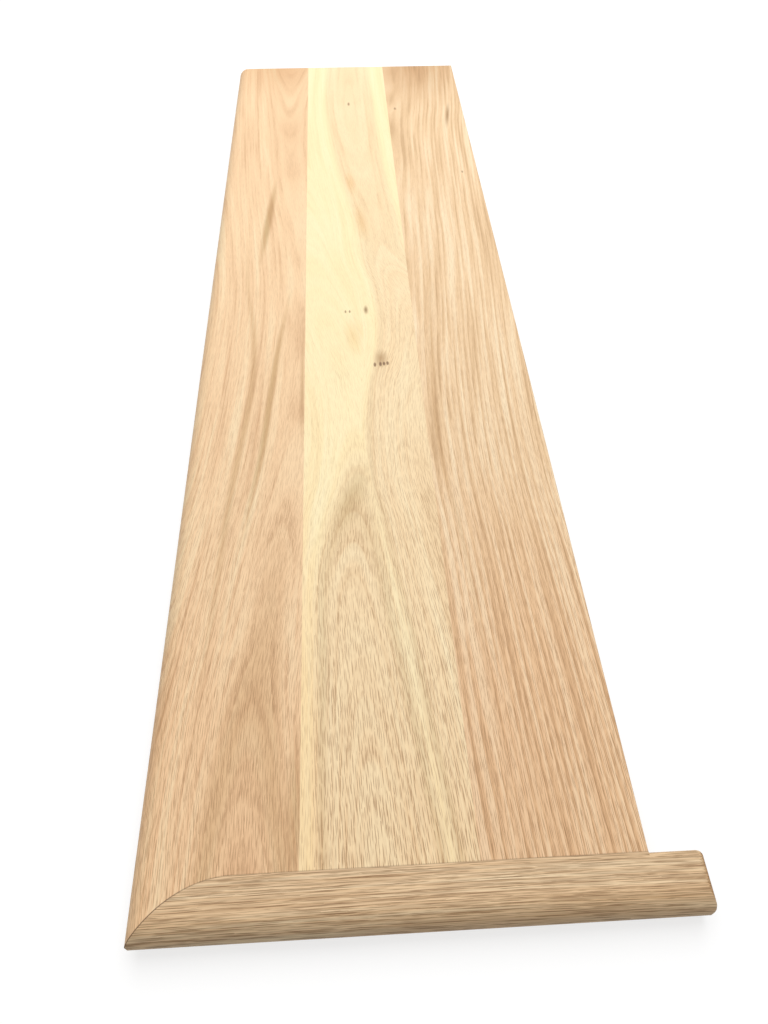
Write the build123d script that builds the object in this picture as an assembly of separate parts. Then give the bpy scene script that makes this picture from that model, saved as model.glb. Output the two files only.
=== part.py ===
from build123d import *
import os

# An edge-glued hardwood stair tread with a mitred return nosing on its right-hand end.
# Frame: +X along the tread towards the return, +Y from the nose to the back edge, +Z up.
# The origin is the middle of the underside of the whole outline, stub included.

# Driving dimensions, in millimetres
tread_length = 1066.8
tread_depth = 292.1
tread_thickness = 25.4
front_stave_width = 94.6
centre_stave_width = 101.7
return_width = 31.75
stub_length = 31.75
mitre_bend_radius = 63.5
stub_end_roundover = 4.8
stub_side_roundover = 3.2
corner_radius = 2.4
arris_ease = 0.6

# Reach of the cutting shapes past the wood that they cut
spare = 10.0
corner_overlap = 0.2

# Places that follow from the driving dimensions
nose_radius = tread_thickness / 2
x_return = tread_length / 2
x_sawn_end = -tread_length / 2
x_joint = x_return - return_width
y_nose = -(tread_depth + stub_length) / 2
y_back = y_nose + tread_depth
y_stub = y_back + stub_length
y_front_glue = y_nose + front_stave_width
y_back_glue = y_front_glue + centre_stave_width


def bullnose_section(plane, width):
    """A flat board section with one half-round edge, its nose at the plane's origin."""
    with BuildSketch(plane) as section:
        with BuildLine():
            arc = ThreePointArc(
                (nose_radius, tread_thickness),
                (0, nose_radius),
                (nose_radius, 0),
            )
            Polyline(
                arc @ 1,
                (width, 0),
                (width, tread_thickness),
                arc @ 0,
            )
        make_face()
    return section.sketch


def return_zone():
    """Everything on the return's side of the joint: the mitre, its bend and the end cut."""
    tip = (x_return + spare, y_nose - spare)
    corner = (x_joint, y_nose + return_width)
    far_corner = (x_joint, y_stub + spare)
    with BuildPart() as zone:
        with BuildSketch():
            with BuildLine():
                joint = FilletPolyline(tip, corner, far_corner, radius=mitre_bend_radius)
                Polyline(
                    joint @ 1,
                    (x_return + spare, y_stub + spare),
                    joint @ 0,
                )
            make_face()
        extrude(amount=tread_thickness)
    return zone.part


def corner_waste(y_corner, side):
    """What is rounded off an outer corner of the return; side is -1 at the nose, 1 at the stub."""
    inset = corner_radius - corner_overlap
    x_centre = x_return - inset
    y_centre = y_corner - side * inset
    reach = corner_radius + spare
    block = Pos(x_centre + reach / 2, y_centre + side * reach / 2, nose_radius) * Box(
        reach,
        reach,
        2 * tread_thickness,
    )
    rounded_post = Pos(x_centre, y_centre, nose_radius) * Cylinder(
        corner_radius,
        2 * tread_thickness,
    )
    return block - rounded_post


def glued_panel():
    """The whole board before it is told apart into staves: nose, back edge and sawn end."""
    nose_plane = Plane(origin=(x_sawn_end, y_nose, 0), x_dir=(0, 1, 0), z_dir=(1, 0, 0))
    panel = extrude(bullnose_section(nose_plane, tread_depth), amount=tread_length)
    back_arrises = panel.edges().filter_by(Axis.X).group_by(Axis.Y)[-1]
    panel = fillet(back_arrises, arris_ease)
    sawn_end = panel.faces().sort_by(Axis.X)[0]
    return fillet(sawn_end.edges(), arris_ease)


def stave(panel, y_low, y_high):
    """One board of the panel, between two glue lines."""
    slab = Pos(0, (y_low + y_high) / 2, tread_thickness / 2) * Box(
        tread_length + 2 * spare,
        y_high - y_low,
        tread_thickness,
    )
    return panel & slab


def stub_block():
    """The square block that the stub is shaped from, its end and inner side rounded over."""
    block = Pos((x_joint + x_return) / 2, (y_back + y_stub) / 2, tread_thickness / 2) * Box(
        return_width,
        stub_length,
        tread_thickness,
    )
    end_arrises = block.edges().filter_by(Axis.X).group_by(Axis.Y)[-1]
    block = fillet(end_arrises, stub_end_roundover)
    inner_side = block.faces().sort_by(Axis.X)[0]
    glued_edge = inner_side.edges().sort_by(Axis.Y)[0]
    inner_arrises = [edge for edge in inner_side.edges() if edge != glued_edge]
    return fillet(inner_arrises, stub_side_roundover)


def return_nosing(zone):
    """The bullnosed strip across the end, mitred to the nose, with its rounded stub."""
    strip_plane = Plane(origin=(x_return, y_nose, 0), x_dir=(-1, 0, 0), z_dir=(0, 1, 0))
    strip = extrude(bullnose_section(strip_plane, return_width), amount=tread_depth)
    stub_plane = strip_plane.offset(tread_depth)
    stub = extrude(bullnose_section(stub_plane, return_width), amount=stub_length)
    nosing = (strip & zone) + (stub & stub_block())
    return nosing - corner_waste(y_nose, -1) - corner_waste(y_stub, 1)


def main():
    zone = return_zone()
    panel = glued_panel() - zone - corner_waste(y_nose, -1)
    parts = {
        "front_stave": stave(panel, y_nose - spare, y_front_glue),
        "centre_stave": stave(panel, y_front_glue, y_back_glue),
        "back_stave": stave(panel, y_back_glue, y_back + spare),
        "return_nosing": return_nosing(zone),
    }
    os.makedirs("parts", exist_ok=True)
    for name, shape in parts.items():
        export_step(shape, f"parts/{name}.step")


main()
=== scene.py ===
import math
import bpy
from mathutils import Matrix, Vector

# A red oak stair tread that lies on a pale floor, seen from above its return end.
# Lengths are in metres. Inside the materials every length is in millimetres.
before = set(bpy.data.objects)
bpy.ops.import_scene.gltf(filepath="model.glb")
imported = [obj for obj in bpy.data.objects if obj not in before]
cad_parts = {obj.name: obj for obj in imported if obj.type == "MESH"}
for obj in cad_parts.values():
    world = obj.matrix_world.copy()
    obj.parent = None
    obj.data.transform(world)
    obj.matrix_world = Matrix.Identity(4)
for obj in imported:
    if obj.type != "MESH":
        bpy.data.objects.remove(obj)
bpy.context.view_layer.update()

MM = 0.001

# The mitre's bend, in millimetres: its radius, its centre, and where it starts and ends
BEND_RADIUS = 63.5
BEND_CENTRE_X = 565.15
BEND_TOP = -103.87
BEND_END = -148.77

# The mitre's hairline gap is painted as a thin line of shade: full to its core and gone at its edge,
# and fading behind the nose
LINE_CORE = 0.15
LINE_EDGE = 0.55
LINE_STRONG_Y = -148.0
LINE_FAINT_Y = -125.0
LINE_STRONG = 0.9
LINE_FAINT = 0.35
GAP_SHADE_COLOUR = "#6B543C"

# How strongly the grain shows along the tread: fully near the return, faintly at the far end
GRAIN_STRENGTH = [(-533, 0.18), (-200, 0.36), (60, 0.56), (250, 0.92), (450, 1.3), (533, 1.35)]

# Sizes of the patterns in millimetres: along the grain, across it and down into the wood.
# Breaks run along and across the rings, and saw marks lie across the end and up it.
WANDER_SIZE = (200, 30, 30)
BREAK_SIZE = (60, 1.6, 1)
BAND_LENGTH = 220
STREAK_SIZE = (70, 0.7, 0.7)
SAW_MARK_SIZE = (1.2, 40, 1)
PORE_CELL = (9, 0.8, 0.8)

# A dash's half sizes as shares of its cell, how dashes differ from each other, and how far
# they are shifted along for each millimetre across
RAY_SHAPE = (0.44, 0.18, 0.8)
PORE_SHAPE = (0.42, 0.2, 0.3)
DASH_SCATTER = 0.95
DASH_SMALLEST = 0.7
DASH_LARGEST = 1.3
DASH_EDGE = 0.25
ROW_STAGGER = 4.8

# How much rays and pores grow in early wood, and rays in dark wood
RAY_GROWTH = 0.92
RAY_EARLY_GROWTH = 0.2
RAY_DARK_GROWTH = 0.15
PORE_GROWTH = 0.5
PORE_EARLY_GROWTH = 0.8

# One year's ring from its start to its end: porous wood is white and dense wood is dark
YEAR = [(0.0, "#FFFFFF"), (0.3, "#C8C8C8"), (0.6, "#404040"), (0.9, "#202020"), (1.0, "#FFFFFF")]
POROUS_MIDDLE = 0.4

# Levels of noise: its middle, where a ring is broken and where it is whole, where no streak
# shows and where a streak is full
NOISE_MIDDLE = 0.5
RING_BROKEN = 0.38
RING_WHOLE = 0.62
STREAK_NONE = 0.62
STREAK_FULL = 0.34

# The share of the rings' strength that fades with the grain along the tread
RING_FADE = 0.5

# The sapwood's soft edge, and how much of its grain is left to be seen
SAP_EDGE = 2.5
SAP_GRAIN = 0.5

# Two hearts' rings run into each other within this distance
HEART_BLEND = 1.5

# A knot pushes the fibres this many times as far as the rings
KNOT_SPREAD = 3

# How squarely a face looks along the grain where end grain starts and where it is full
END_GRAIN_START = 0.25
END_GRAIN_FULL = 0.8

# Sanded and sawn oak: a dry, matt surface that the saw leaves darker and rougher
OAK_IOR = 1.5
SANDED_ROUGHNESS = 0.6
SAWN_ROUGHNESS = 0.8
SAWN_SHADE = "#CDB596"
SAWN_STRENGTH = 0.8
PIT_DEPTH = 0.12 * MM

# Colours of what repeats in the boards
KNOT_COLOUR = "#806A56"
FLECK_COLOUR = "#8A7258"
DULL_STREAK_COLOUR = "#D2C6AE"
DARK_YEAR_COLOUR = "#D6CFBA"

# The photograph's camera: lens and sensor in millimetres, place in metres, turn in degrees
LENS = 27.42
SENSOR_WIDTH = 36.0
CAMERA_PLACE = (0.61573, -0.02912, 0.49046)
CAMERA_ANGLES = (38.2621, -0.3494, 86.8463)

# The floor and the light: sizes and places in metres, power in watts
FLOOR_SIZE = 12.0
FLOOR_COLOUR = "#A0A0A0"
FLOOR_LIFT = 0.72
SURROUND_STRENGTH = 0.36
LAMP_SIZE = 2.4
LAMP_POWER = 47.5
LAMP_PLACE = (-0.78, 0.1, 2.0)


def hex_colour(text):
    """Turn an sRGB hex colour into the linear values that Blender works in."""
    channels = [int(text[i:i + 2], 16) / 255 for i in (1, 3, 5)]
    linear = [c / 12.92 if c <= 0.04045 else ((c + 0.055) / 1.055) ** 2.4 for c in channels]
    return (*linear, 1.0)


def add_node(tree, kind, inputs=None, **settings):
    """Add a node with its settings. An input is a value, a socket, or a node's first output.

    A Map Range turns the range of inputs 1 and 2 into that of 3 and 4. A Mix has its factor
    in input 0, its colours in 6 and 7, and its vectors in 4 and 5.
    """
    node = tree.nodes.new("ShaderNode" + kind)
    for setting, value in settings.items():
        setattr(node, setting, value)
    for socket, value in (inputs or {}).items():
        if isinstance(value, bpy.types.Node):
            value = value.outputs[0]
        if isinstance(value, bpy.types.NodeSocket):
            tree.links.new(value, node.inputs[socket])
        else:
            node.inputs[socket].default_value = value
    return node


def new_material(name):
    """Start a material with an empty node tree."""
    material = bpy.data.materials.new(name)
    material.use_nodes = True
    material.node_tree.nodes.clear()
    return material, material.node_tree


def set_ramp(node, stops):
    """Set a colour ramp from pairs of position and colour."""
    ramp = node.color_ramp
    while len(ramp.elements) < len(stops):
        ramp.elements.new(0.5)
    for element, (position, colour) in zip(ramp.elements, stops):
        element.position = position
        element.color = hex_colour(colour)


def set_course(node, points):
    """Draw a smooth course along the board through points of place and value."""
    mapping = node.mapping
    mapping.use_clip = False
    line = mapping.curves[0]
    line.points[0].location = points[0]
    line.points[1].location = points[-1]
    for point in points[1:-1]:
        line.points.new(*point)
    mapping.update()


def add_axes(tree, coordinates, turn):
    """A point's place in millimetres, turned so that the grain runs along X."""
    turned = add_node(
        tree,
        "Mapping",
        {
            "Vector": coordinates.outputs["Object"],
            "Rotation": (0, 0, turn),
            "Scale": (1 / MM, 1 / MM, 1 / MM),
        },
    )
    return add_node(tree, "SeparateXYZ", {0: turned})


def add_space(tree, parts, sizes):
    """A space for a pattern, where one unit is a real size in mm along each of its axes."""
    joined = add_node(tree, "CombineXYZ", dict(enumerate(parts)))
    return add_node(tree, "VectorMath", {0: joined, 1: sizes}, operation="DIVIDE")


def add_shade(tree, colour, cover, strength, shade):
    """Darken a colour by multiplying it with a shade where the cover is."""
    amount = add_node(tree, "Math", {0: cover, 1: strength}, operation="MULTIPLY")
    return add_node(
        tree,
        "Mix",
        {0: amount, 6: colour, 7: hex_colour(shade)},
        data_type="RGBA",
        blend_type="MULTIPLY",
    ).outputs[2]


def add_mark(tree, axes, mark):
    """A soft spot of 1 in its middle and 0 past its reach; its middle may follow a path."""
    across = axes.outputs["Y"]
    if "path" in mark:
        path = add_node(tree, "FloatCurve", {"Value": axes.outputs["X"]})
        set_course(path, mark["path"])
        across = add_node(tree, "Math", {0: across, 1: path}, operation="SUBTRACT")
    place = add_node(tree, "CombineXYZ", {0: axes.outputs["X"], 1: across})
    local = add_node(
        tree,
        "Mapping",
        {
            "Vector": place,
            "Location": (*mark["at"], 0),
            "Rotation": (0, 0, mark.get("slant", 0.0)),
            "Scale": (*mark["reach"], 1),
        },
        vector_type="TEXTURE",
    )
    distance = add_node(tree, "VectorMath", {0: local}, operation="LENGTH")
    return add_node(
        tree,
        "MapRange",
        {"Value": distance.outputs["Value"], 1: mark.get("core", 0.0), 2: 1.0, 3: 1.0, 4: 0.0},
        interpolation_type="SMOOTHSTEP",
    )


def add_dashes(tree, space, half_size, growth):
    """Scattered spindles, one to a cell of the space: 1 inside a spindle and 0 between them."""
    cells = add_node(
        tree, "TexVoronoi", {"Vector": space, "Scale": 1.0, "Randomness": DASH_SCATTER}
    )
    offset = add_node(
        tree, "VectorMath", {0: space, 1: cells.outputs["Position"]}, operation="SUBTRACT"
    )
    offset = add_node(tree, "VectorMath", {0: offset, 1: half_size}, operation="DIVIDE")
    reach = add_node(tree, "VectorMath", {0: offset}, operation="LENGTH")
    own_size = add_node(
        tree, "MapRange", {"Value": cells.outputs["Color"], 3: DASH_SMALLEST, 4: DASH_LARGEST}
    )
    own_size = add_node(tree, "Math", {0: own_size, 1: growth}, operation="MULTIPLY")
    inside = add_node(
        tree, "Math", {0: own_size, 1: reach.outputs["Value"]}, operation="SUBTRACT"
    )
    return add_node(tree, "MapRange", {"Value": inside, 1: -DASH_EDGE, 2: DASH_EDGE})


def add_gap_shade(tree, place):
    """Painted shade in the mitre's hairline gap: a thin dark line along a 45 degree cut, a bend, and
    a run straight across.
    """
    below_bend = add_node(
        tree,
        "MapRange",
        {"Value": place.outputs["Y"], 1: BEND_END, 2: BEND_TOP, 3: BEND_END - BEND_TOP, 4: 0.0},
    )
    squared = add_node(tree, "Math", {0: below_bend, 1: 2.0}, operation="POWER")
    left = add_node(tree, "Math", {0: BEND_RADIUS ** 2, 1: squared}, operation="SUBTRACT")
    bend = add_node(tree, "Math", {0: left}, operation="SQRT")
    past_bend = add_node(tree, "Math", {0: BEND_END, 1: place.outputs["Y"]}, operation="SUBTRACT")
    cut = add_node(tree, "Math", {0: past_bend, 1: 0.0}, operation="MAXIMUM")
    cut = add_node(tree, "Math", {0: cut, 1: BEND_CENTRE_X}, operation="ADD")
    joint = add_node(tree, "Math", {0: cut, 1: bend}, operation="SUBTRACT")
    away = add_node(tree, "Math", {0: place.outputs["X"], 1: joint}, operation="SUBTRACT")
    away = add_node(tree, "Math", {0: away}, operation="ABSOLUTE")
    line = add_node(tree, "MapRange", {"Value": away, 1: LINE_CORE, 2: LINE_EDGE, 3: 1.0, 4: 0.0})
    strength = add_node(
        tree,
        "MapRange",
        {
            "Value": place.outputs["Y"],
            1: LINE_STRONG_Y,
            2: LINE_FAINT_Y,
            3: LINE_STRONG,
            4: LINE_FAINT,
        },
    )
    return add_node(tree, "Math", {0: line, 1: strength}, operation="MULTIPLY")


def add_hearts(tree, board, axes):
    """The log's rings: their radius, and each point's place across and above the nearer heart."""
    radius = None
    section = None
    for heart in board["hearts"]:
        drift = add_node(tree, "FloatCurve", {"Value": axes.outputs["X"]})
        set_course(drift, heart["drift"])
        depth = add_node(tree, "FloatCurve", {"Value": axes.outputs["X"]})
        set_course(depth, heart["depth"])
        across = add_node(tree, "Math", {0: axes.outputs["Y"], 1: drift}, operation="SUBTRACT")
        height = add_node(tree, "Math", {0: axes.outputs["Z"], 1: depth}, operation="ADD")
        own_section = add_node(tree, "CombineXYZ", {0: across, 1: height}).outputs[0]
        reach = add_node(tree, "VectorMath", {0: own_section}, operation="LENGTH")
        reach = reach.outputs["Value"]
        if radius is None:
            radius = reach
            section = own_section
        else:
            nearer = add_node(tree, "Math", {0: reach, 1: radius}, operation="LESS_THAN")
            section = add_node(
                tree, "Mix", {0: nearer, 4: section, 5: own_section}, data_type="VECTOR"
            ).outputs[1]
            radius = add_node(
                tree, "Math", {0: radius, 1: reach, 2: HEART_BLEND}, operation="SMOOTH_MIN"
            ).outputs[0]
    return radius, add_node(tree, "SeparateXYZ", {0: section})


def add_knots(tree, board, axes, radius, fibre):
    """Rings bulge round each knot, and the fibres spread past it."""
    for knot in board["knots"]:
        lump = add_mark(tree, axes, knot)
        push = knot["push"]
        radius = add_node(
            tree, "Math", {0: lump, 1: -push, 2: radius}, operation="MULTIPLY_ADD"
        )
        fibre = add_node(
            tree, "Math", {0: lump, 1: KNOT_SPREAD * push, 2: fibre}, operation="MULTIPLY_ADD"
        )
    return radius, fibre


def add_wander(tree, board, grain_place, radius):
    """Rings wander a little from true circles."""
    wander = add_node(
        tree,
        "TexNoise",
        {
            "Vector": add_space(tree, grain_place, WANDER_SIZE),
            "Scale": 1.0,
            "Detail": 2.0,
            "Roughness": 0.4,
        },
    )
    swing = add_node(
        tree,
        "MapRange",
        {"Value": wander.outputs["Fac"], 3: -board["wander"], 4: board["wander"]},
    )
    return add_node(tree, "Math", {0: radius, 1: swing}, operation="ADD")


def add_early_wood(tree, board, along, radius):
    """Each ring starts porous and ends dense, and the porous part breaks off in places."""
    ring = add_node(tree, "Math", {0: radius, 1: board["ring_width"]}, operation="DIVIDE")
    phase = add_node(tree, "Math", {0: ring}, operation="FRACT")
    early = add_node(tree, "ValToRGB", {"Fac": phase})
    set_ramp(early, YEAR)
    breaks = add_node(
        tree,
        "TexNoise",
        {"Vector": add_space(tree, (along, radius), BREAK_SIZE), "Scale": 1.0, "Detail": 1.0},
        noise_dimensions="2D",
    )
    kept = add_node(
        tree,
        "MapRange",
        {
            "Value": breaks.outputs["Fac"],
            1: RING_BROKEN,
            2: RING_WHOLE,
            3: board["ring_breaks"],
            4: 1.0,
        },
    )
    return add_node(tree, "Math", {0: early, 1: kept}, operation="MULTIPLY")


def add_wood_colour(tree, board, along, radius, porous, sap):
    """Heartwood and sapwood, paler and darker from year to year and within each ring."""
    bands = add_node(
        tree,
        "TexNoise",
        {
            "Vector": add_space(tree, (along, radius), (BAND_LENGTH, board["band_width"], 1)),
            "Scale": 1.0,
            "Detail": 2.5,
            "Roughness": 0.6,
        },
        noise_dimensions="2D",
    )
    contrast = board["band_contrast"]
    tone = add_node(
        tree,
        "Math",
        {0: bands.outputs["Fac"], 1: contrast, 2: NOISE_MIDDLE * (1 - contrast)},
        operation="MULTIPLY_ADD",
    )
    tone = add_node(
        tree, "Math", {0: porous, 1: -board["ring_contrast"], 2: tone}, operation="MULTIPLY_ADD"
    )
    heartwood = add_node(tree, "ValToRGB", {"Fac": tone})
    set_ramp(heartwood, board["heartwood"])
    sapwood = add_node(tree, "ValToRGB", {"Fac": tone})
    set_ramp(sapwood, board["sapwood"])
    return add_node(
        tree, "Mix", {0: sap, 6: heartwood, 7: sapwood}, data_type="RGBA"
    ).outputs[2]


def add_dark_wood(tree, board, axes, radius, coarse, colour):
    """Years darker than the rest, then stains, knots and tints, and where rays are stronger."""
    dark = 0.0
    for year in board["dark_years"]:
        away = add_node(tree, "Math", {0: radius, 1: year["radius"]}, operation="SUBTRACT")
        away = add_node(tree, "Math", {0: away}, operation="ABSOLUTE")
        cover = add_node(
            tree,
            "MapRange",
            {"Value": away, 1: 0.0, 2: year["reach"], 3: 1.0, 4: 0.0},
            interpolation_type="SMOOTHSTEP",
        )
        cover = add_node(tree, "Math", {0: cover, 1: coarse}, operation="MULTIPLY")
        colour = add_shade(tree, colour, cover, year["strength"], year["colour"])
        dark = add_node(
            tree, "Math", {0: cover, 1: year["rays"], 2: dark}, operation="MULTIPLY_ADD"
        )
    for mark in board["marks"]:
        spot = add_mark(tree, axes, mark)
        colour = add_shade(tree, colour, spot, mark["strength"], mark["colour"])
        dark = add_node(
            tree, "Math", {0: spot, 1: mark.get("rays", 0.0), 2: dark}, operation="MULTIPLY_ADD"
        )
    return colour, dark


def add_grain(tree, board, grain_place, early, dark):
    """Fibre streaks, rays and open pores, each as a cover from 0 to 1.

    Rays show on the flat as dark spindles about 10 mm long, and longer on the return. Real
    ones are about 0.2 mm wide, so these are drawn coarser than real: 0.35 mm wide and 1 mm
    apart. Open pores show as lines 4 to 10 mm long and 0.3 mm wide, most in the early wood.
    """
    along, fibre, depth = grain_place
    streaks = add_node(
        tree,
        "TexNoise",
        {
            "Vector": add_space(tree, grain_place, STREAK_SIZE),
            "Scale": 1.0,
            "Detail": 2.0,
            "Roughness": 0.6,
        },
    )
    streaks = add_node(
        tree, "MapRange", {"Value": streaks.outputs["Fac"], 1: STREAK_NONE, 2: STREAK_FULL}
    )

    # Dashes are staggered from row to row, so that no line of them runs across the board
    stagger = add_node(tree, "Math", {0: fibre, 1: ROW_STAGGER, 2: along}, operation="MULTIPLY_ADD")
    rows = (stagger, fibre, depth)
    growth = add_node(
        tree, "Math", {0: early, 1: RAY_EARLY_GROWTH, 2: RAY_GROWTH}, operation="MULTIPLY_ADD"
    )
    growth = add_node(
        tree, "Math", {0: dark, 1: RAY_DARK_GROWTH, 2: growth}, operation="MULTIPLY_ADD"
    )
    rays = add_dashes(tree, add_space(tree, rows, board["ray_cell"]), RAY_SHAPE, growth)
    growth = add_node(
        tree, "Math", {0: early, 1: PORE_EARLY_GROWTH, 2: PORE_GROWTH}, operation="MULTIPLY_ADD"
    )
    pores = add_dashes(tree, add_space(tree, rows, PORE_CELL), PORE_SHAPE, growth)
    return streaks, rays, pores


def add_end_grain(tree, board, coordinates):
    """Where the wood is cut across: 1 on end grain and 0 on the faces along the grain."""
    facing = add_node(tree, "SeparateXYZ", {0: coordinates.outputs["Normal"]})
    facing = add_node(
        tree, "Math", {0: facing.outputs[board["end_grain_axis"]]}, operation="ABSOLUTE"
    )
    return add_node(
        tree,
        "MapRange",
        {"Value": facing, 1: END_GRAIN_START, 2: END_GRAIN_FULL},
        interpolation_type="SMOOTHSTEP",
    )


def add_saw_marks(tree, axes, end_grain):
    """Fine upright scratches that the saw leaves on the end grain."""
    scratches = add_node(
        tree,
        "TexNoise",
        {
            "Vector": add_space(tree, (axes.outputs["Y"], axes.outputs["Z"]), SAW_MARK_SIZE),
            "Scale": 1.0,
            "Detail": 1.0,
        },
        noise_dimensions="2D",
    )
    return add_node(
        tree, "Math", {0: scratches.outputs["Fac"], 1: end_grain}, operation="MULTIPLY"
    )


def sanded_oak(name, board):
    """Red oak, sanded and left unfinished: pale and matt, with dark open pores and no gloss.

    The pattern is solid, so the arches on a face and the arcs on the sawn end are one log.
    """
    material, tree = new_material(name)
    coordinates = add_node(tree, "TexCoord")
    place = add_axes(tree, coordinates, 0.0)
    axes = add_axes(tree, coordinates, board["turn"])
    along = axes.outputs["X"]
    coarse = add_node(tree, "FloatCurve", {"Value": place.outputs["X"]})
    set_course(coarse, GRAIN_STRENGTH)

    # Fibres spread apart towards the return end of a fanned board
    radius, section = add_hearts(tree, board, axes)
    fan = add_node(tree, "Math", {0: along, 1: -board["fan"], 2: 1.0}, operation="MULTIPLY_ADD")
    fibre = add_node(tree, "Math", {0: section.outputs["X"], 1: fan}, operation="MULTIPLY")
    radius, fibre = add_knots(tree, board, axes, radius, fibre)
    grain_place = (along, fibre, section.outputs["Y"])
    radius = add_wander(tree, board, grain_place, radius)
    early = add_early_wood(tree, board, along, radius)

    # Sapwood is the pale outside of the log, and fainter in its grain
    sap = add_node(
        tree,
        "MapRange",
        {"Value": radius, 1: board["sap_radius"] - SAP_EDGE, 2: board["sap_radius"] + SAP_EDGE},
        interpolation_type="SMOOTHSTEP",
    )
    faint = add_node(tree, "MapRange", {"Value": sap, 3: 1.0, 4: SAP_GRAIN})
    grain_strength = add_node(tree, "Math", {0: faint, 1: coarse}, operation="MULTIPLY")

    # The rings fade less along the tread than the fine grain does
    fade = add_node(
        tree, "Math", {0: coarse, 1: RING_FADE, 2: 1 - RING_FADE}, operation="MULTIPLY_ADD"
    )
    porous = add_node(tree, "Math", {0: early, 1: POROUS_MIDDLE}, operation="SUBTRACT")
    porous = add_node(tree, "Math", {0: porous, 1: fade}, operation="MULTIPLY")
    porous = add_node(tree, "Math", {0: porous, 1: faint}, operation="MULTIPLY")
    colour = add_wood_colour(tree, board, along, radius, porous, sap)
    colour, dark = add_dark_wood(tree, board, axes, radius, coarse, colour)

    streaks, rays, pores = add_grain(tree, board, grain_place, early, dark)
    for cover, strength in (
        (streaks, board["streak_strength"]),
        (rays, board["ray_strength"]),
        (pores, board["pore_strength"]),
    ):
        amount = add_node(tree, "Math", {0: cover, 1: strength}, operation="MULTIPLY")
        amount = add_node(tree, "Math", {0: amount, 1: grain_strength}, operation="MULTIPLY")
        colour = add_node(
            tree,
            "Mix",
            {0: amount, 6: colour, 7: hex_colour(board["pore_colour"])},
            data_type="RGBA",
        ).outputs[2]

    # Cut across, the same wood is darker and rougher, and keeps the marks of the saw
    end_grain = add_end_grain(tree, board, coordinates)
    saw_marks = add_saw_marks(tree, axes, end_grain)
    joint = add_gap_shade(tree, place)
    colour = add_shade(tree, colour, end_grain, SAWN_STRENGTH, SAWN_SHADE)
    # Painted shade darkens the wood along the mitre's hairline gap
    colour = add_shade(tree, colour, joint, 1.0, GAP_SHADE_COLOUR)
    roughness = add_node(
        tree, "MapRange", {"Value": end_grain, 3: SANDED_ROUGHNESS, 4: SAWN_ROUGHNESS}
    )

    # Pores, saw marks and the mitre's hairline gap are sunk into the surface
    pits = add_node(tree, "Math", {0: pores, 1: joint}, operation="MAXIMUM")
    pits = add_node(tree, "Math", {0: pits, 1: saw_marks}, operation="ADD")
    bump = add_node(
        tree, "Bump", {"Height": pits, "Strength": 0.5, "Distance": PIT_DEPTH}, invert=True
    )
    shader = add_node(
        tree,
        "BsdfPrincipled",
        {"Base Color": colour, "Roughness": roughness, "IOR": OAK_IOR, "Normal": bump},
    )
    add_node(tree, "OutputMaterial", {"Surface": shader})
    return material


# What the boards' values mean, in millimetres: a heart is the middle of the log's rings.
# Its drift is its place across the grain, and its depth is how far it lies under the board.
# Dark years lie at a radius from the heart. A mark is a soft spot or streak that darkens or
# tints the wood. It has a place, a reach along and across the grain, and may follow a path.
# Wood past the sap radius is sapwood, so a radius of 2000 leaves a board all heartwood.

# Front board: one long arch with a darker year, and dull streaks beside it
front_board = {
    "turn": 0.0,
    "end_grain_axis": "X",
    "hearts": [
        {
            "drift": [
                (-533, -89.9), (-367, -89.9), (-227, -81.9), (-117, -71.9),
                (-17, -65.9), (113, -69.9), (203, -75.9), (271, -83.9),
                (303, -87.9), (358, -93.9), (403, -97.9), (533, -97.9),
            ],
            "depth": [
                (-533, 16.6), (-397, 23.6), (-227, 25.6), (113, 27.6), (203, 26.6),
                (271, 25.1), (358, 22.6), (433, 19.6), (533, 13.6),
            ],
        },
    ],
    "fan": 0.0,
    "knots": [],
    "wander": 1.6,
    "ring_width": 2.4,
    "ring_contrast": 0.3,
    "ring_breaks": 0.15,
    "band_width": 5.0,
    "band_contrast": 1.25,
    "heartwood": [(0.1, "#DDB285"), (0.45, "#F2CC9F"), (0.6, "#F6D2A5"), (0.9, "#F9DEB3")],
    "sapwood": [(0.1, "#F8DDAA"), (0.45, "#FFE9B6"), (0.7, "#FFEDBE"), (0.95, "#FFF1C8")],
    "sap_radius": 2000.0,
    "streak_strength": 0.16,
    "ray_strength": 0.48,
    "ray_cell": (12, 0.95, 1.5),
    "pore_strength": 0.32,
    "pore_colour": "#9F744A",
    "dark_years": [
        {"radius": 46.5, "reach": 5.0, "strength": 0.38, "rays": 0.5, "colour": DARK_YEAR_COLOUR},
    ],
    "marks": [
        {
            "at": (-155, -108),
            "reach": (100, 6),
            "slant": -0.07,
            "core": 0.2,
            "strength": 0.9,
            "colour": "#CDC0A6",
        },
        {
            "path": [
                (-27, -82.4), (13, -86.9), (48, -90.9), (110, -95.9), (191, -101.9),
                (228, -106.9), (273, -111.9), (295, -115.9), (328, -120.9),
            ],
            "at": (130, 0),
            "reach": (180, 4.5),
            "core": 0.2,
            "strength": 0.9,
            "colour": DULL_STREAK_COLOUR,
        },
        {
            "path": [
                (-117, -126.9), (-37, -123.9), (33, -114.9), (103, -112.9), (133, -114.9),
                (233, -123.9), (333, -128.9), (433, -133.9), (503, -136.9),
            ],
            "at": (150, 0),
            "reach": (330, 5),
            "strength": 0.7,
            "colour": DULL_STREAK_COLOUR,
        },
        {"at": (108, -69.5), "reach": (95, 3), "strength": 0.6, "colour": "#C9BDA4"},
        {"at": (470, -70), "reach": (70, 8), "strength": 0.7, "colour": DULL_STREAK_COLOUR},
        {"at": (-560, -110), "reach": (150, 90), "strength": 0.8, "colour": "#E2CFBC"},
        {
            "at": (560, -110),
            "reach": (330, 160),
            "core": 0.3,
            "strength": 1.0,
            "colour": "#FFF9F5",
        },
    ],
}

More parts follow.
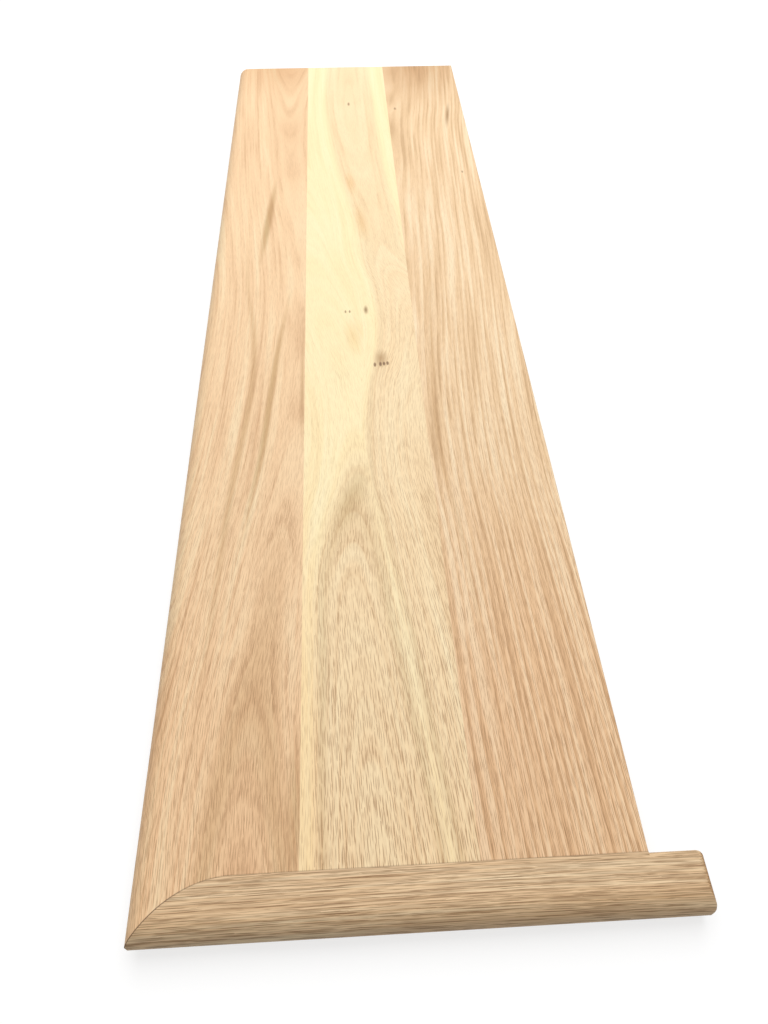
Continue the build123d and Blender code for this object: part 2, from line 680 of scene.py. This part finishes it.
# Centre board: cream sapwood where it is far from both hearts, two arches, and small knots
centre_board = dict(
    front_board,
    hearts=[
        {
            "drift": [
                (-533, -13.4), (-417, -13.9), (-337, -10.4), (-267, -5.4), (-207, 1.1),
                (-147, 8.1), (-87, 13.1), (-27, 30.0), (33, 39.0), (73, 36.7), (113, 28.7),
                (203, 25.7), (263, 33.7), (303, 38.7), (363, 46.7), (403, 50.7),
                (473, 58.7), (533, 64.7),
            ],
            "depth": [
                (-533, 19.6), (-417, 18.3), (-267, 20.5), (-147, 22.3), (-87, 21.8),
                (-27, 16.6), (33, 10.6), (93, 8.6), (533, 8.6),
            ],
        },
        {
            "drift": [
                (-87, -64.9), (13, -51.9), (83, -36.9), (133, -29.9), (211, -24.9),
                (253, -29.4), (313, -31.4), (373, -27.9), (433, -24.4), (493, -20.9),
                (533, -18.9),
            ],
            "depth": [
                (-533, 60.0), (-67, 36.0), (13, 31.2), (83, 30.6), (153, 30.0), (211, 26.8),
                (253, 24.5), (313, 20.5), (373, 17.8), (433, 15.2), (493, 12.1), (533, 10.6),
            ],
        },
    ],
    fan=0.0007,
    wander=1.0,
    dark_years=[
        {"radius": 50.4, "reach": 3.2, "strength": 0.32, "rays": 0.5, "colour": DARK_YEAR_COLOUR},
    ],
    knots=[
        {"at": (78, 1), "reach": (70, 18), "push": 1.5},
        {"at": (3, -10), "reach": (40, 10), "push": 1.0},
    ],
    ring_width=2.0,
    sap_radius=53.0,
    heartwood=[(0.1, "#EAC99A"), (0.45, "#F9DCAE"), (0.6, "#FAE0B3"), (0.9, "#FDE8BD")],
    ray_strength=0.52,
    pore_strength=0.36,
    band_contrast=1.0,
    marks=[
        {"at": (74, 1), "reach": (16, 9), "strength": 0.8, "colour": "#BBAA95"},
        {"at": (82, -5), "reach": (3.8, 1.6), "core": 0.4, "strength": 0.9, "colour": KNOT_COLOUR},
        {"at": (81.5, 0), "reach": (4, 1.7), "core": 0.4, "strength": 0.9, "colour": KNOT_COLOUR},
        {"at": (81, 3.2), "reach": (3.4, 1.6), "core": 0.4, "strength": 0.9, "colour": KNOT_COLOUR},
        {"at": (80.6, 6.4), "reach": (3.4, 1.6), "core": 0.4, "strength": 0.9, "colour": KNOT_COLOUR},
        {"at": (3.4, -9.9), "reach": (9, 3), "strength": 0.9, "colour": FLECK_COLOUR},
        {"at": (5.4, -29.4), "reach": (3, 1.2), "core": 0.3, "strength": 0.8, "colour": FLECK_COLOUR},
        {"at": (5.4, -25.4), "reach": (3, 1.2), "core": 0.3, "strength": 0.8, "colour": FLECK_COLOUR},
        {"at": (-422.6, -14.9), "reach": (7, 2.4), "strength": 0.9, "colour": FLECK_COLOUR},
        {
            "at": (236, -31),
            "reach": (48, 13),
            "slant": -0.35,
            "strength": 0.45,
            "colour": "#D0C8AE",
        },
        {"at": (533, -65), "reach": (360, 14), "core": 0.5, "strength": 1.0, "colour": "#FFF6F0"},
        {"at": (560, 0), "reach": (200, 120), "core": 0.2, "strength": 1.0, "colour": "#FFFAF6"},
        {"at": (41, -22), "reach": (38, 13), "strength": 0.45, "colour": "#ECD8BC"},
        {"at": (-228, -18), "reach": (34, 8), "slant": 0.1, "strength": 0.6, "colour": "#F2DCC0"},
        {"at": (-148, -9), "reach": (48, 9), "slant": 0.1, "strength": 0.6, "colour": "#F0DABE"},
    ],
)

# Back board: wider rings with stronger early wood, and a short dark streak near the far end
back_board = dict(
    front_board,
    hearts=[
        {
            "drift": [
                (-517, 38.1), (-417, 31.1), (-367, 25.1), (-267, 20.1), (-167, 16.1),
                (-107, 14.1), (-17, 8.1), (83, 1.1), (203, -1.9), (283, 1.1), (383, 5.1),
                (503, 10.1), (533, 11.1),
            ],
            "depth": [(-533, 44.6), (533, 44.6)],
        },
    ],
    wander=2.0,
    ring_width=3.2,
    ring_contrast=0.55,
    ring_breaks=0.4,
    band_contrast=1.7,
    ray_strength=0.54,
    dark_years=[],
    heartwood=[(0.1, "#D4AF82"), (0.45, "#ECC99C"), (0.6, "#F2D1A6"), (0.9, "#F9E0B9")],
    marks=[
        {
            "at": (-388, 109.5),
            "reach": (42, 3.8),
            "slant": -0.13,
            "strength": 0.9,
            "colour": "#A89274",
        },
        {"at": (-407.6, 44.1), "reach": (5, 2.2), "strength": 0.8, "colour": FLECK_COLOUR},
        {"at": (-247.6, 112.1), "reach": (4, 1.6), "strength": 0.8, "colour": FLECK_COLOUR},
        {"at": (-560, 80), "reach": (190, 100), "strength": 0.9, "colour": "#D2BEA8"},
        {"at": (560, 80), "reach": (420, 160), "core": 0.3, "strength": 1.0, "colour": "#FCF0E8"},
        {
            "path": [
                (-187, 58.1), (-107, 59.1), (-17, 53.1), (83, 46.1), (183, 43.1),
                (283, 51.1), (383, 55.1), (503, 60.1),
            ],
            "at": (150, 0),
            "reach": (420, 3.5),
            "core": 0.2,
            "strength": 0.5,
            "rays": 0.6,
            "colour": "#E2D5C0",
        },
    ],
)

# Return: its grain runs along it, which is across the tread, in long thin darker streaks
return_board = dict(
    front_board,
    turn=-math.pi / 2,
    end_grain_axis="Y",
    hearts=[
        {
            "drift": [(-162.0, 484.0), (0, 485.5), (162.0, 484.5)],
            "depth": [(-162.0, 28.0), (162.0, 31.0)],
        },
    ],
    wander=1.2,
    ring_width=3.0,
    band_contrast=0.95,
    dark_years=[],
    heartwood=[(0.1, "#D2AA7C"), (0.45, "#EBC79A"), (0.6, "#F0CEA2"), (0.9, "#F7DDB4")],
    streak_strength=0.42,
    ray_strength=0.5,
    ray_cell=(22, 1.2, 1.2),
    pore_strength=0.4,
    pore_colour="#80592F",
    marks=[],
)


def add_camera():
    """The photograph's place: above the return end, looking down the tread."""
    data = bpy.data.cameras.new("camera")
    data.lens = LENS
    data.sensor_width = SENSOR_WIDTH
    data.clip_start = 0.01
    camera = bpy.data.objects.new("camera", data)
    camera.location = CAMERA_PLACE
    camera.rotation_euler = [math.radians(angle) for angle in CAMERA_ANGLES]
    bpy.context.scene.collection.objects.link(camera)
    bpy.context.scene.camera = camera


def add_seen(tree):
    """1 for what the camera sees, directly or in a reflection, and 0 for the light on the wood."""
    path = add_node(tree, "LightPath")
    seen = add_node(
        tree,
        "Math",
        {0: path.outputs["Is Camera Ray"], 1: path.outputs["Is Glossy Ray"]},
        operation="MAXIMUM",
    )
    return add_node(
        tree, "Math", {0: seen, 1: path.outputs["Is Transmission Ray"]}, operation="MAXIMUM"
    )


def add_floor():
    """A pale floor that looks white and keeps the tread's soft shadow."""
    bpy.ops.mesh.primitive_plane_add(size=FLOOR_SIZE, location=(0, 0, 0))
    floor = bpy.context.object
    floor.name = "floor"
    material, tree = new_material("pale floor")
    diffuse = add_node(tree, "BsdfDiffuse", {"Color": hex_colour(FLOOR_COLOUR)})
    lift = add_node(tree, "Emission", {"Color": (1, 1, 1, 1), "Strength": FLOOR_LIFT})
    both = add_node(tree, "AddShader", {0: diffuse, 1: lift})
    shown = add_node(tree, "MixShader", {0: add_seen(tree), 1: diffuse, 2: both})
    add_node(tree, "OutputMaterial", {"Surface": shown})
    floor.data.materials.append(material)


def add_surround():
    """A surround that lights the wood evenly and looks white."""
    world = bpy.data.worlds.new("surround")
    world.use_nodes = True
    tree = world.node_tree
    tree.nodes.clear()
    strength = add_node(
        tree, "MapRange", {"Value": add_seen(tree), 3: SURROUND_STRENGTH, 4: 1.0}
    )
    surround = add_node(tree, "Background", {"Color": (1, 1, 1, 1), "Strength": strength})
    add_node(tree, "OutputWorld", {"Surface": surround})
    bpy.context.scene.world = world


def add_lamp():
    """One wide soft lamp over the far end, where the photograph is brightest."""
    data = bpy.data.lights.new("soft lamp", "AREA")
    data.shape = "RECTANGLE"
    data.size = LAMP_SIZE
    data.size_y = LAMP_SIZE
    data.energy = LAMP_POWER
    lamp = bpy.data.objects.new("soft lamp", data)
    lamp.location = LAMP_PLACE
    aim = Vector((0, 0, 0)) - lamp.location
    lamp.rotation_euler = aim.to_track_quat("-Z", "Y").to_euler()
    bpy.context.scene.collection.objects.link(lamp)


def dress(node, material, board):
    """Give a CAD piece its oak."""
    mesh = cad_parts[node].data
    mesh.materials.clear()
    mesh.materials.append(sanded_oak(material, board))


bpy.context.scene.view_settings.view_transform = "Standard"
add_camera()
add_floor()
add_surround()
add_lamp()
dress("front_stave", "sanded red oak front board", front_board)
dress("centre_stave", "sanded red oak centre board", centre_board)
dress("back_stave", "sanded red oak back board", back_board)
dress("return_nosing", "sanded red oak return", return_board)
